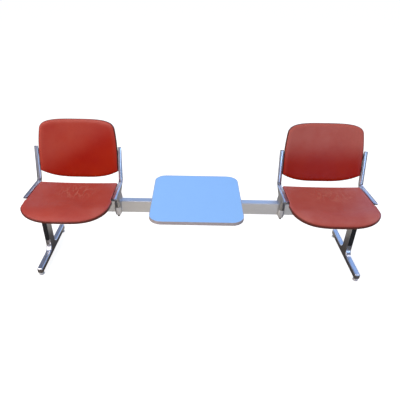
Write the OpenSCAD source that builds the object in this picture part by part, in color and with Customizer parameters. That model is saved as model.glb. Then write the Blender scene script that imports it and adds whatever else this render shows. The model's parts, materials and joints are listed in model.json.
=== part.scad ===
// Beam bench: two upholstered seats and a middle table on one beam with two legs.
// Millimetres. +X to the right as seen by a person facing the bench, -Y to the front, +Z up.

/* [Beam] */
// Height of the beam's section
beam_h = 72; // [64:1:80]
// Depth of the beam's section, front to back
beam_d = 40; // [34:1:44]
// Wall of the beam
beam_wall = 3; // [2:0.5:4]
// Rounding of the beam's long edges
beam_r = 3; // [1.5:0.5:4]
// Height of the beam's top face above the floor
beam_top = 382; // [372:1:386]
// Length of beam past the outer clamps
beam_overhang = 4; // [2:0.5:20]
// Thickness of the flange of the plug in each beam end
plug_flange = 2.5; // [1.5:0.5:4]
// Depth that the plug reaches into the beam
plug_depth = 18; // [8:1:30]

/* [Seat modules] */
// Distance between the middles of the two seats
seat_spacing = 1378; // [1250:2:1600]
// Distance between the side frames of one seat
frame_spacing = 468; // [440:2:500]
// Height of the rails' top face at the bend
bend_z = 440; // [430:1:450]
// Distance of the bend behind the beam's middle
bend_y = 102; // [92:1:112]
// Rise of the rails towards the front, in degrees
rail_rise = 3.5; // [2:0.5:5]
// Length of a rail's top face
rail_len = 213; // [195:1:230]
// Lean of the uprights, in degrees
upright_lean = 13.5; // [10:0.5:17]
// Length of an upright's front face
upright_len = 197; // [180:1:215]
// Width of a rail
rail_w = 22; // [20:1:28]
// Width of an upright at its top
upright_w = 18; // [16:1:22]
// Thickness of the rail and upright
band_t = 10; // [8:0.5:12]
// Radius of the bend's inner side
bend_r = 14; // [8:1:20]
// Thickness of the web and ribs
web_t = 14; // [10:1:18]
// Depth of the rib under the rail and behind the upright
rib_h = 16; // [14:1:22]
// Thickness of the fixing lugs
lug_t = 5; // [4:0.5:7]
// Width of a fixing lug
lug_w = 26; // [22:1:30]
// Distance of the fixing screws from the side frame's middle
lug_reach = 32; // [30:1:36]

/* [Clamps] */
// Width of a clamp along the beam
clamp_w = 38; // [32:1:44]
// Depth of the metal in front of and behind the beam
clamp_lug = 17.8; // [15:0.2:22]
// Height of the joint between the clamp's halves, above the beam's underside
clamp_split = 39; // [30:1:44]
// Gap between the clamp's halves
clamp_gap = 1; // [0.4:0.2:2]
// Thickness of the lower jaw under the beam
jaw_t = 12; // [9:0.5:16]
// Rounding of the clamp's upright edges
clamp_round = 14; // [4:1:16]
// Clearance between the beam's sides and the clamps
beam_gap = 0.2; // [0.1:0.1:0.5]

/* [Seat and back] */
// Thickness of the moulded shells
shell_t = 8; // [6:0.5:10]
// Thickness of the covers under the seat and behind the back
cover_t = 2; // [1.5:0.5:3]
// Thickness of a pad at its sides
pad_t = 13; // [10:0.5:18]
// Hollow of the seat pad at its middle
seat_dish = 5; // [0:0.5:8]
// Height of the seat pads above the rails
seat_proud = 2; // [0:0.5:6]
// Distance of the back pads before the uprights
back_proud = 6; // [0:0.5:8]
// Gap between a pad and the rails or uprights beside it
side_gap = 2; // [1:0.5:5]
// Rear edge of the seat, from the bend along the rail
seat_rear = 20; // [16:1:40]
// Front edge of the seat, from the bend along the rail
seat_front = 404; // [370:1:420]
// Length of the seat's rounded front
seat_nose = 114; // [90:1:130]
// Widening of the seat in front of the rails, each side
seat_bulge = 7; // [0:0.5:16]
// Start of the seat's downward curve, from the bend along the rail
fall_start = 290; // [270:1:300]
// Radius of the seat's downward curve
fall_r = 240; // [200:5:300]
// Bottom of the back at its middle, from the bend up the upright
back_low = 14; // [10:1:30]
// Rise of the back's lower edge towards its sides
back_smile = 44; // [20:1:60]
// Top of the back at its middle, from the bend up the upright
back_high = 347; // [310:1:360]
// Drop of the back's upper edge at its sides
back_shoulder = 50; // [30:1:60]
// Narrowing of the back at its upper corners, each side
back_taper = 16; // [0:1:24]
// Hollow of the back across its width
back_hollow = 28; // [20:1:36]
// Thickness of the back pad at its middle
back_pad_t = 12; // [9:0.5:16]

/* [Table] */
// Side of the square table top
table_side = 490; // [420:2:560]
// Thickness of the table's core
table_core_t = 17; // [14:1:22]
// Thickness of the table's top sheet
laminate_t = 1; // [0.6:0.1:1.5]
// Thickness of the band round the table's edge
edge_t = 2; // [1:0.5:4]
// Rounding of the table's corners
table_r = 64; // [30:1:90]
// Place of the table's middle along the beam
table_x = -19; // [-60:1:60]
// Place of the table's middle behind the beam's middle
table_y = -7; // [-20:1:20]
// Thickness of the table bracket over the beam
bracket_t = 11; // [10:0.5:16]
// Distance between the two table brackets
bracket_spacing = 300; // [240:2:380]
// Reach of a bracket's arm from the beam's middle
bracket_reach = 190; // [150:1:200]
// Width of a bracket's arm
bracket_w = 34; // [28:1:38]
// Thickness of a bracket's arm
arm_t = 8; // [6:0.5:10]

/* [Legs] */
// Thickness of the leg casting along the beam
leg_w = 31; // [28:1:36]
// Clearance between a leg and the outer clamp beside it
leg_gap = 1; // [0.5:0.5:10]
// Front of the pillar, before the beam's middle
pillar_front = 36; // [30:1:38]
// Rear of the pillar, behind the beam's middle
pillar_rear = 24; // [22:1:38]
// Front end of the foot, before the beam's middle
foot_front = 218; // [190:1:250]
// Rear end of the foot, behind the beam's middle
foot_rear = 217; // [190:1:225]
// Height of the foot's top face
foot_top = 50; // [46:1:56]
// Height of the foot's underside
foot_low = 16; // [14:1:18]
// Distance of a glide's middle from the end of the foot
glide_in = 17; // [16:1:24]
// Radius of the fillets between pillar and foot
foot_fillet = 34; // [20:1:40]
// Width of the ribbed insert in the pillar
insert_w = 26; // [18:1:27]
// Depth of the ribbed insert
insert_t = 5; // [4:0.5:7]
// Height of the insert's rounded lower end
insert_low = 108; // [100:1:140]
// Ribs across the insert
insert_ribs = 6; // [4:1:8]

/* [Glides] */
// Radius of the glide's foot
glide_r = 15; // [12:0.5:17]
// Height of the glide's foot
glide_h = 8; // [6:0.5:10]
// Radius of the glide's neck
glide_neck_r = 9; // [7.5:0.5:11]
// Travel of the glide out of the leg
glide_travel = 12; // [6:1:14]

/* [Fasteners] */
// Radius of the clamp bolts and glide stems
bolt_r = 4; // [3:0.5:5]
// Radius of the heads of the clamp bolts
bolt_head_r = 6.5; // [6.5:0.5:8]
// Height of the heads of the clamp bolts
bolt_head_h = 8; // [5:0.5:9]
// Length of clamp bolt inside the upper half of the clamp
bolt_grip = 28; // [20:1:32]
// Radius of the screws of seats and backs
screw_r = 3; // [2.5:0.5:3.5]
// Radius of the screws' heads
screw_head_r = 5.5; // [5:0.5:7]
// Height of the screws' heads
screw_head_h = 3.5; // [2.5:0.5:5]
// Length of screw inside a shell or the table's core
screw_grip = 6; // [4:0.5:7]

/* [Hidden] */
$fn = 48;

polished = "lightsteelblue";
steel = "dimgray";
leather_red = "orangered";
plastic_black = "#2b2b28";
glide_grey = "gainsboro";

fit_gap = 0.15; // round a part that drops into a pocket
hole_gap = 0.3; // round a screw or bolt in a clearance hole
thread_gap = 0.05; // round a screw or bolt in its thread
pad_gap = 0.3; // between a pad and its shell
fall_gap = 1; // more of it where the seat curves down
cover_inset = 9; // from a pad's outline to its cover's
shell_inset = 5; // from a pad's outline to its shell's
pad_edge = 2; // height of a pad's upright edge
pad_round = 12; // rounding of a pad's edge
pad_lip = 1.5; // rise of a pad's underside at its edge
pad_lip_w = 5; // width of that rise
fall_lead = 40; // length before the seat's downward curve where its pad lifts off the shell
trim = 10; // of a panel past its outline, before it is cut to it
cut = 1; // overrun of a cutting shape

beam_low = beam_top - beam_h;
clamp_y = beam_d / 2 + clamp_lug;
bolt_y = beam_d / 2 + clamp_lug / 2;
split_z = beam_low + clamp_split;
jaw_low = beam_low - jaw_t;
outer_x = (seat_spacing + frame_spacing) / 2;
inner_x = (seat_spacing - frame_spacing) / 2;
beam_len = 2 * (outer_x + clamp_w / 2 + beam_overhang);
leg_x = outer_x - clamp_w / 2 - leg_gap - leg_w / 2;
pad_half = frame_spacing / 2 - rail_w / 2 - side_gap;
screw_x = frame_spacing / 2 - lug_reach;
bend_half = (90 + upright_lean - rail_rise) / 2;
rib_end = band_t + rib_h;
seat_base = pad_t - seat_proud; // the seat shell's top below the rails' top
back_base = back_pad_t - back_proud; // the back shell's front behind the uprights' front
seat_lug_z = seat_base + shell_t + cover_t + fit_gap;
seat_lug_in = [32, 52]; // from the seat's rear edge and the rail's front end to the lugs
back_lug_in = [32, 37]; // from the back's lower corner and the upright's top to the lugs
seat_lugs = [seat_rear + seat_lug_in[0], rail_len - seat_lug_in[1]];
back_lugs = [back_low + back_smile + back_lug_in[0], upright_len - back_lug_in[1]];
back_r = (pow(pad_half, 2) + pow(back_hollow, 2)) / (2 * back_hollow);
back_centre = back_r - back_hollow - back_base; // of the hollow, before the uprights' front
back_rear_r = back_r + shell_t + cover_t + 2 * fit_gap; // of the lugs' faces behind the back
function back_rear(x) = sqrt(pow(back_rear_r, 2) - pow(x, 2)) - back_centre;
back_lug_y = back_rear(screw_x - lug_w / 2) + lug_t; // rear of the lugs, behind the uprights' front
table_z = beam_top + bracket_t;
bracket_x = [for (s = [-1, 1]) table_x + s * bracket_spacing / 2];
glide_y = [-(foot_front - glide_in), foot_rear - glide_in];
thread_hold = 14; // length of stem still in its bush with the glide screwed right out
stem_top = foot_low + glide_travel + thread_hold;
bush_wall = 2.5;
bush_r = bolt_r + bush_wall;
neck_top = foot_low - hole_gap;
bush_h = stem_top - foot_low;
glide_edge = 2; // chamfer of the glide's foot
stem_low = 5; // height of the stem's end, moulded into the glide's foot
thread_run = 4; // of a threaded hole past its bolt's end
hex_r = 0.75 * bolt_r / cos(30); // of the socket in a bolt's head

// Points of the outlines below

function unit(v) = v / norm(v);
function angle(v) = atan2(v[1], v[0]);
function turn(a) = a > 180 ? a - 360 : a < -180 ? a + 360 : a;
function clamp01(t) = max(0, min(1, t));
function smooth(t) = let (c = clamp01(t)) c * c * (3 - 2 * c);
function bow(t) = sqrt(max(0, 1 - pow(1 - clamp01(t), 2))); // rises from 0 to 1 as a quarter circle

// A corner at b, between a and c, rounded to radius r
function corner(a, b, c, r, n = 6) = r == 0 ? [b] :
    let (u = unit(a - b), v = unit(c - b), h = acos(u * v) / 2, m = b + unit(u + v) * r / sin(h),
         a0 = angle(b + u * r / tan(h) - m), a1 = angle(b + v * r / tan(h) - m))
    [for (i = [0:n]) m + r * [cos(a0 + turn(a1 - a0) * i / n), sin(a0 + turn(a1 - a0) * i / n)]];

// An outline from corners given as [point, radius]
function rounded(p) = let (n = len(p))
    [for (i = [0:n - 1]) each corner(p[(i + n - 1) % n][0], p[i][0], p[(i + 1) % n][0], p[i][1])];

function box_corners(w, h, r) =
    [for (s = [[-1, -1], [1, -1], [1, 1], [-1, 1]]) [[s[0] * w / 2, s[1] * h / 2], r]];

// Places along the rail and the upright, as [y, z] before the whole is set on its origin
function on_rail(s, up) = [bend_y - s * cos(rail_rise) + up * sin(rail_rise),
                           bend_z + s * sin(rail_rise) + up * cos(rail_rise)];
function on_upright(s, back) = [bend_y + back * cos(upright_lean) + s * sin(upright_lean),
                                bend_z - back * sin(upright_lean) + s * cos(upright_lean)];

// Form of the seat: u runs across from -1 to 1, s along the rail from the bend forwards

seat_corner = 12; // rounding of the seat's rear corners
bulge_len = 22; // over which the seat widens in front of the rails
nose_power = 3.2; // squareness of the seat's rounded front
nose_start = seat_front - seat_nose;
bulge_clear = 8;
rail_clear = rail_len + bulge_clear; // where the seat begins to widen
function seat_half(s) = let (t = s - rail_clear) pad_half + seat_bulge * smooth(t / bulge_len)
    - (seat_bulge / 2) * clamp01((t - bulge_len) / (nose_start - rail_clear - bulge_len));
function seat_lo(u) = seat_rear + seat_corner * (1 - bow((1 - abs(u)) * pad_half / seat_corner));
function seat_hi(u) = nose_start + seat_nose * sqrt(max(0, 1 - pow(abs(u), nose_power)));
function fall_sin(s) = max(0, s - fall_start) / fall_r;
function seat_point(x, s, up) = let (f = fall_sin(s), c = sqrt(1 - f * f))
    [x, each on_rail(s + up * f, up * c - seat_base - fall_r * (1 - c))];

// Form of the back: u runs across, s up the upright from the bend
taper_from = 0.43; // share of the back's height below which its sides stay straight
taper_to = 0.91; // share of the back's height where its narrowing ends
shoulder_power = 0.42; // squareness of the back's upper corners
function back_half(s) = pad_half
    - back_taper * pow(clamp01((s / back_high - taper_from) / (taper_to - taper_from)), 2);
function back_lo(u) = back_low + back_smile * pow(abs(u), 3);
function back_hi(u) = back_high - back_shoulder * (1 - pow(max(0, 1 - pow(abs(u), 4)), shoulder_power));
function back_point(x, s, up) = let (f = x / back_r, c = sqrt(1 - f * f))
    [x - up * f, each on_upright(s, back_r * c - back_centre - up * c)];

// Stations across and along a pad: close together at its edges
edge_steps = [0, 1.2, 3.5, 7, 12];
edge_n = len(edge_steps);
across_n = 14;
along_n = 10;
function across(i) = let (e = edge_steps[edge_n - 1], k = i - edge_n + 1)
    i < edge_n ? -1 + edge_steps[i] / pad_half :
    k <= across_n ? -(1 - e / pad_half) * cos(180 * k / across_n) :
    1 - edge_steps[edge_n - 1 - (k - across_n)] / pad_half;
function along(j, lo, hi) = let (e = edge_steps[edge_n - 1], k = j - edge_n + 1)
    j < edge_n ? lo + edge_steps[j] :
    k <= along_n ? lo + e + (hi - lo - 2 * e) * k / along_n :
    hi - edge_steps[edge_n - 1 - (k - along_n)];
pad_cols = 2 * (edge_n - 1) + across_n;
pad_rows = 2 * (edge_n - 1) + along_n;

function slope(f, u, half) = let (d = 0.004) (f(min(1, u + d)) - f(max(-1, u - d))) / (2 * d * half);
function edge_distance(u, s, half, lo, hi) = min((1 - abs(u)) * half,
    (s - lo(u)) / sqrt(1 + pow(slope(lo, u, half), 2)), (hi(u) - s) / sqrt(1 + pow(slope(hi, u, half), 2)));

// A pad as one closed solid. up(u, s, d) is [under, over], above the shell, at d from the outline
module pad(half, lo, hi, up, place, front_up) {
    w = pad_cols + 1;
    grid = [for (j = [0:pad_rows], i = [0:pad_cols])
        let (u = across(i), s = along(j, lo(u), hi(u)), h = half(s))
        [u * h, s, up(u, s, edge_distance(u, s, h, lo, hi))]];
    points = concat([for (g = grid) place(g[0], g[1], g[2][1])], [for (g = grid) place(g[0], g[1], g[2][0])]);
    m = len(grid);
    over = [for (j = [0:pad_rows - 1], i = [0:pad_cols - 1]) let (a = j * w + i)
        each [[a, a + 1, a + 1 + w], [a, a + 1 + w, a + w]]];
    under = [for (f = over) [f[2] + m, f[1] + m, f[0] + m]];
    loop = concat([for (i = [0:pad_cols - 1]) i], [for (j = [0:pad_rows - 1]) j * w + pad_cols],
        [for (i = [pad_cols:-1:1]) pad_rows * w + i], [for (j = [pad_rows:-1:1]) j * w]);
    n = len(loop);
    side = [for (k = [0:n - 1]) let (p = loop[k], q = loop[(k + 1) % n])
        each [[q, p, p + m], [q, p + m, q + m]]];
    faces = concat(over, under, side);
    polyhedron(points, front_up ? [for (f = faces) [f[2], f[1], f[0]]] : faces, convexity = 6);
}

// Heights of a pad's underside and top above the shell, at d from its outline
function pad_up(under, thick, d) = let (edge_top = under + pad_lip + pad_edge)
    [under + pad_lip * (1 - bow(d / pad_lip_w)), edge_top + (thick - edge_top) * bow(d / pad_round)];
function seat_under(s) = pad_gap + fall_gap * clamp01(1 + (s - fall_start) / fall_lead);
function seat_up(u, s, d) = pad_up(seat_under(s), pad_t - seat_dish * (1 - u * u), d);
function back_up(u, s, d) = pad_up(pad_gap, back_pad_t, d);

// The outline of a shell or cover, the pad's drawn in by inset, as [x, s]
function panel_outline(half, lo, hi, inset, n = 26) =
    let (top = hi(1) - inset, low = lo(1) + inset, side = [for (k = [1:9]) top + (low - top) * k / 10])
    concat(
        [for (k = [0:n]) let (u = -cos(180 * k / n), s = hi(u)) [u * (half(s) - inset), s - inset]],
        [for (s = side) [half(s) - inset, s]],
        [for (k = [0:n]) let (u = cos(180 * k / n), s = lo(u)) [u * (half(s) - inset), s + inset]],
        [for (k = [8:-1:0]) [inset - half(side[k]), side[k]]]);

// The whole stands with its bounding box's middle over the origin
seat_tip = seat_point(0, seat_front, pad_gap + fall_gap + pad_lip + pad_edge)[1];
back_tip = on_upright(back_high - cover_inset, back_base + back_hollow + shell_t + cover_t + fit_gap)[0];
y_front = min(seat_tip, -foot_front, table_y - table_side / 2);
y_rear = max(back_tip, foot_rear, table_y + table_side / 2);
y_mid = (y_front + y_rear) / 2;

module set_down() { translate([0, -y_mid, 0]) children(); }

// Extrudes an outline of [y, z] points along X, or one of [x, z] points along Y, about the middle
module yz_plate(points, w) {
    translate([-w / 2, 0, 0]) rotate([90, 0, 90]) linear_extrude(w) polygon(points);
}
module xz_plate(points, d) {
    translate([0, d / 2, 0]) rotate([90, 0, 0]) linear_extrude(d) polygon(points);
}
module rail_place() { translate([0, bend_y, bend_z]) rotate([-rail_rise, 0, 0]) children(); }
module upright_place() { translate([0, bend_y, bend_z]) rotate([-upright_lean, 0, 0]) children(); }

// The beam and its plugs

module beam_chambers(gap, len) {
    chamber_h = (beam_h - 3 * beam_wall) / 2;
    chamber = [beam_d - 2 * beam_wall - 2 * gap, chamber_h - 2 * gap];
    for (s = [-1, 1]) translate([0, 0, s * (chamber_h + beam_wall) / 2]) rotate([90, 0, 90])
        linear_extrude(len, center = true) square(chamber, center = true);
}

module beam() {
    color(polished) set_down() translate([0, 0, beam_top - beam_h / 2]) difference() {
        yz_plate(rounded(box_corners(beam_d, beam_h, beam_r)), beam_len);
        beam_chambers(0, beam_len + 2 * cut);
    }
}

module beam_plug(side) {
    color(plastic_black) set_down() translate([side * beam_len / 2, 0, beam_top - beam_h / 2]) {
        translate([side * plug_flange / 2, 0, 0])
            yz_plate(rounded(box_corners(beam_d, beam_h, beam_r)), plug_flange);
        translate([-side * plug_depth / 2, 0, 0]) beam_chambers(fit_gap, plug_depth);
    }
}

// Clamps: an upper half that hangs over the beam, and a lower jaw bolted to it from below

module clamp_plan(z0, z1) {
    translate([0, 0, z0]) linear_extrude(z1 - z0)
        polygon(rounded(box_corners(clamp_w, 2 * clamp_y, clamp_round)));
}

module beam_hole() {
    translate([0, 0, (beam_low + beam_top) / 2])
        cube([beam_len, beam_d + 2 * beam_gap, beam_h], center = true);
}

module bolt_axes() { for (s = [-1, 1]) translate([0, s * bolt_y, 0]) children(); }

// Threads for the bolts in an upper half
module bolt_threads() {
    bolt_axes() translate([0, 0, split_z - cut])
        cylinder(r = bolt_r + thread_gap, h = bolt_grip + thread_run + cut);
}

module clamp_jaw(x) {
    jaw_r = 8; // rounding of its lower front and rear edges
    taper_h = 16; // height over which it narrows towards its bolts
    taper_w = 10; // width that it loses there, each side
    jaw_top = split_z - clamp_gap / 2;
    color(polished) set_down() translate([x, 0, 0]) difference() {
        intersection() {
            clamp_plan(jaw_low, jaw_top);
            yz_plate(rounded([[[-clamp_y, jaw_low], jaw_r], [[clamp_y, jaw_low], jaw_r],
                [[clamp_y, jaw_top], 0], [[-clamp_y, jaw_top], 0]]), clamp_w);
            xz_plate([[-clamp_w / 2 + taper_w, jaw_low], [clamp_w / 2 - taper_w, jaw_low],
                [clamp_w / 2, jaw_low + taper_h], [clamp_w / 2, split_z],
                [-clamp_w / 2, split_z], [-clamp_w / 2, jaw_low + taper_h]], 3 * clamp_y);
        }
        beam_hole();
        bolt_axes() translate([0, 0, jaw_low - cut])
            cylinder(r = bolt_r + hole_gap, h = clamp_split + jaw_t + 2 * cut);
    }
}

module bolts_under(x) {
    for (s = [-1, 1]) translate([x, s * bolt_y, jaw_low]) {
        translate([0, 0, -bolt_head_h]) difference() {
            cylinder(r = bolt_head_r, h = bolt_head_h);
            translate([0, 0, -cut]) cylinder(r = hex_r, h = bolt_head_h / 2 + cut, $fn = 6);
        }
        cylinder(r = bolt_r, h = split_z + bolt_grip - jaw_low);
    }
}

module clamp_bolts() {
    color(steel) set_down() for (x = [-outer_x, -inner_x, inner_x, outer_x]) bolts_under(x);
}

module table_bolts() {
    color(steel) set_down() for (x = bracket_x) bolts_under(x);
}

// Side frame. inward is 1 where its seat lies towards +X, and -1 where it lies towards -X

band_end_r = 4; // rounding of the ends of rail and upright
rib_in = 6; // from the end of the rail or upright to the end of its rib
rail_slope = 30; // length of the sloping end of the rib under the rail
upright_slope = 17; // length of the sloping end of the rib behind the upright
rib_r = 14; // rounding where the ribs start to slope
hanger_r = 30; // rounding of the web behind the beam's top edge
taper_rise = 20; // height above the bend where the upright starts to narrow
boss_shoulder = 4; // height above the beam where the clamp starts to narrow

// The corner of the bend, at depth t behind and under the band's inner face
function bend_corner(t) = on_rail(-t / tan(bend_half), -t);

band_outline = rounded([
    [on_rail(rail_len, 0), band_end_r], [on_rail(0, 0), bend_r], [on_upright(upright_len, 0), band_end_r],
    [on_upright(upright_len, band_t), band_end_r], [bend_corner(band_t), bend_r + band_t],
    [on_rail(rail_len, -band_t), band_end_r]]);

rib_outline = rounded([
    [on_rail(rail_len - rib_in, -band_t / 2), 0], [on_rail(rail_len - rib_in, -band_t - cut), 0],
    [on_rail(rail_len - rib_in - rail_slope, -rib_end), rib_r], [bend_corner(rib_end), bend_r + rib_end],
    [on_upright(upright_len - rib_in - upright_slope, rib_end), rib_r],
    [on_upright(upright_len - rib_in, band_t + cut), 0], [on_upright(upright_len - rib_in, band_t / 2), 0],
    [bend_corner(band_t / 2), bend_r + band_t / 2]]);

hanger_top = on_rail(bend_y + clamp_y, -band_t - cut)[1];
hanger_outline = rounded([
    [[-clamp_y, split_z + clamp_gap / 2], 0], [[clamp_y, split_z + clamp_gap / 2], 0],
    [[clamp_y, beam_top], hanger_r], [on_rail(0, -rib_end), 0], [on_rail(0, -band_t - cut), 0],
    [[-clamp_y, hanger_top], 0]]);
boss_top = on_rail(bend_y + clamp_y, -rib_end)[1] + boss_shoulder / 2;

module rail_lug(s) {
    translate([0, -s, -seat_lug_z - lug_t]) linear_extrude(lug_t) {
        translate([0, -lug_w / 2]) square([lug_reach, lug_w]);
        translate([lug_reach, 0]) circle(lug_w / 2);
    }
}

module upright_lug(s) {
    difference() {
        translate([0, band_t, s]) rotate([-90, 0, 0]) linear_extrude(back_lug_y - band_t) {
            translate([0, -lug_w / 2]) square([lug_reach, lug_w]);
            translate([lug_reach, 0]) circle(lug_w / 2);
        }
        translate([frame_spacing / 2, -back_centre, s - lug_w])
            cylinder(r = back_rear_r, h = 2 * lug_w, $fn = 180);
    }
}

module side_frame(x, inward) {
    upright_top = on_upright(upright_len, 0)[1];
    waist = beam_top + boss_shoulder;
    color(polished) set_down() translate([x, 0, 0]) mirror([inward < 0 ? 1 : 0, 0, 0]) difference() {
        union() {
            intersection() {
                yz_plate(band_outline, rail_w);
                xz_plate([[-rail_w / 2, 0], [rail_w / 2, 0], [rail_w / 2, bend_z + taper_rise],
                    [upright_w / 2, upright_top], [-upright_w / 2, upright_top],
                    [-rail_w / 2, bend_z + taper_rise]], 3 * rail_len);
            }
            yz_plate(rib_outline, web_t);
            yz_plate(hanger_outline, web_t);
            intersection() {
                yz_plate(hanger_outline, clamp_w);
                xz_plate([[-clamp_w / 2, 0], [clamp_w / 2, 0], [clamp_w / 2, waist], [web_t / 2, boss_top],
                    [-web_t / 2, boss_top], [-clamp_w / 2, waist]], 3 * clamp_y);
                clamp_plan(split_z, boss_top + cut);
            }
            rail_place() for (s = seat_lugs) rail_lug(s);
            upright_place() for (s = back_lugs) upright_lug(s);
        }
        beam_hole();
        bolt_threads();
        rail_place() for (s = seat_lugs) translate([lug_reach, -s, -seat_lug_z - lug_t - cut])
            cylinder(r = screw_r + hole_gap, h = lug_t + 2 * cut);
        upright_place() for (s = back_lugs) translate([lug_reach, 0, s]) rotate([-90, 0, 0])
            cylinder(r = screw_r + hole_gap, h = back_lug_y + cut);
    }
}

// Seat: shell, pad, under cover and screws

module seat_panel(up0, up1, inset) {
    steps = [seat_rear - trim, for (k = [0:16]) fall_start + (seat_front + trim - fall_start) * k / 16];
    profile = concat([for (s = steps) let (p = seat_point(0, s, up1)) [p[1], p[2]]],
        [for (k = [len(steps) - 1:-1:0]) let (p = seat_point(0, steps[k], up0)) [p[1], p[2]]]);
    intersection() {
        yz_plate(profile, 3 * pad_half);
        rail_place() translate([0, 0, -fall_r / 2]) linear_extrude(fall_r) polygon([
            for (p = panel_outline(function (s) seat_half(s), function (u) seat_lo(u),
                function (u) seat_hi(u), inset)) [p[0], -p[1]]]);
    }
}

module seat_screw_places() {
    for (x = [-screw_x, screw_x], s = seat_lugs) rail_place() translate([x, -s, -seat_lug_z]) children();
}

module seat_shell(x) {
    color("burlywood") set_down() translate([x, 0, 0]) difference() {
        seat_panel(-shell_t, 0, shell_inset);
        seat_screw_places() cylinder(r = screw_r + thread_gap, h = screw_grip + cover_t + cut);
    }
}

module seat_cover(x) {
    color(plastic_black) set_down() translate([x, 0, 0]) difference() {
        seat_panel(-shell_t - cover_t, -shell_t, cover_inset);
        seat_screw_places() translate([0, 0, -cut]) cylinder(r = screw_r + hole_gap, h = 2 * cover_t + cut);
    }
}

module seat_pad(x) {
    color(leather_red) set_down() translate([x, 0, 0])
        pad(function (s) seat_half(s), function (u) seat_lo(u), function (u) seat_hi(u),
            function (u, s, d) seat_up(u, s, d), function (x, s, up) seat_point(x, s, up), false);
}

module both_seats() { for (side = [-1, 1]) translate([side * seat_spacing / 2, 0, 0]) children(); }

module seat_screws() {
    color(steel) set_down() both_seats() seat_screw_places() {
        translate([0, 0, -lug_t - screw_head_h]) cylinder(r = screw_head_r, h = screw_head_h);
        translate([0, 0, -lug_t]) cylinder(r = screw_r, h = lug_t + cover_t + screw_grip);
    }
}

// Back: shell, pad, rear cover and screws

module back_panel(up0, up1, inset) {
    intersection() {
        upright_place() translate([0, -back_centre, 0]) difference() {
            cylinder(r = back_r - up0, h = back_high + cut, $fn = 180);
            translate([0, 0, -cut]) cylinder(r = back_r - up1, h = back_high + 3 * cut, $fn = 180);
        }
        upright_place() rotate([90, 0, 0]) linear_extrude(4 * back_hollow, center = true) polygon(
            panel_outline(function (s) back_half(s), function (u) back_lo(u),
                function (u) back_hi(u), inset));
    }
}

module back_screw_places() {
    for (x = [-screw_x, screw_x], s = back_lugs) upright_place()
        translate([x, back_lug_y, s]) rotate([90, 0, 0]) children();
}
back_shell_rear = sqrt(pow(back_r, 2) - pow(screw_x, 2)) - back_centre + shell_t;
back_screw_len = back_lug_y - back_shell_rear + screw_grip;

module back_shell(x) {
    color("burlywood") set_down() translate([x, 0, 0]) difference() {
        back_panel(-shell_t, 0, shell_inset);
        back_screw_places() cylinder(r = screw_r + thread_gap, h = back_screw_len + cut / 2);
    }
}

module back_cover(x) {
    color(leather_red) set_down() translate([x, 0, 0]) difference() {
        back_panel(-shell_t - cover_t - fit_gap, -shell_t - fit_gap, cover_inset);
        back_screw_places() cylinder(r = screw_r + hole_gap, h = back_screw_len);
    }
}

module back_pad(x) {
    color(leather_red) set_down() translate([x, 0, 0])
        pad(function (s) back_half(s), function (u) back_lo(u), function (u) back_hi(u),
            function (u, s, d) back_up(u, s, d), function (x, s, up) back_point(x, s, up), true);
}

module back_screws() {
    color(steel) set_down() both_seats() back_screw_places() {
        translate([0, 0, -screw_head_h]) cylinder(r = screw_head_r, h = screw_head_h);
        cylinder(r = screw_r, h = back_screw_len);
    }
}

// Legs: casting, strap over the beam, bolts and inserts

strap_t = 11; // metal of the strap over the beam
strap_r = 2; // rounding of the strap's top edges, clear of the bolts' heads
strap_drop = 4; // of the strap's joint below the joint of the clamps beside it
saddle_t = 20; // metal of the leg under the beam
flare = 5; // half the height over which the pillar widens to its saddle
flare_r = 10;
saddle_r = 6;
foot_end_r = 8;
heel_r = 8;
strap_split = split_z - strap_drop;
strap_top = beam_top + strap_t;
head_low = beam_low - saddle_t;
strap_bolt_low = head_low + thread_run;
insert_clear = 2; // from the insert's upper end to the flare
insert_top = head_low - 2 * flare - insert_clear;
leg_outline = rounded([
    [[-foot_front, foot_top], foot_end_r], [[-pillar_front, foot_top], foot_fillet],
    [[-pillar_front, head_low - flare], flare_r], [[-clamp_y, head_low + flare], saddle_r],
    [[-clamp_y, strap_split], 0], [[clamp_y, strap_split], 0],
    [[clamp_y, head_low + flare], saddle_r], [[pillar_rear, head_low - flare], flare_r],
    [[pillar_rear, foot_top], foot_fillet], [[foot_rear, foot_top], foot_end_r],
    [[foot_rear, foot_low], heel_r], [[-foot_front, foot_low], heel_r]]);

module insert_pocket(gap, depth) {
    w = insert_w - 2 * gap;
    round_z = insert_low + insert_w / 2;
    rotate([90, 0, 0]) linear_extrude(depth) {
        translate([-w / 2, round_z]) square([w, insert_top - gap - round_z]);
        translate([0, round_z]) circle(w / 2);
    }
}

module leg(side) {
    color(polished) set_down() translate([side * leg_x, 0, 0]) difference() {
        yz_plate(leg_outline, leg_w);
        beam_hole();
        translate([0, -pillar_front + insert_t, 0]) insert_pocket(0, insert_t + cut);
        translate([0, pillar_rear + cut, 0]) insert_pocket(0, insert_t + cut);
        bolt_axes() translate([0, 0, head_low])
            cylinder(r = bolt_r + thread_gap, h = strap_split - head_low + cut);
        for (y = glide_y) translate([0, y, foot_low - cut]) cylinder(r = bush_r, h = bush_h + 2 * cut);
    }
}

module leg_strap(side) {
    color(polished) set_down() translate([side * leg_x, 0, 0]) difference() {
        yz_plate(rounded([[[-clamp_y, strap_split + clamp_gap], 0], [[clamp_y, strap_split + clamp_gap], 0],
            [[clamp_y, strap_top], strap_r], [[-clamp_y, strap_top], strap_r]]), leg_w);
        beam_hole();
        bolt_axes() translate([0, 0, strap_split])
            cylinder(r = bolt_r + hole_gap, h = strap_top - strap_split + cut);
    }
}

module strap_bolts() {
    color(steel) set_down() for (side = [-1, 1]) translate([side * leg_x, 0, 0]) bolt_axes() {
        translate([0, 0, strap_top]) difference() {
            cylinder(r = bolt_head_r, h = bolt_head_h);
            translate([0, 0, bolt_head_h / 2]) cylinder(r = hex_r, h = bolt_head_h / 2 + cut, $fn = 6);
        }
        translate([0, 0, strap_bolt_low]) cylinder(r = bolt_r, h = strap_top - strap_bolt_low);
    }
}

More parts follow.
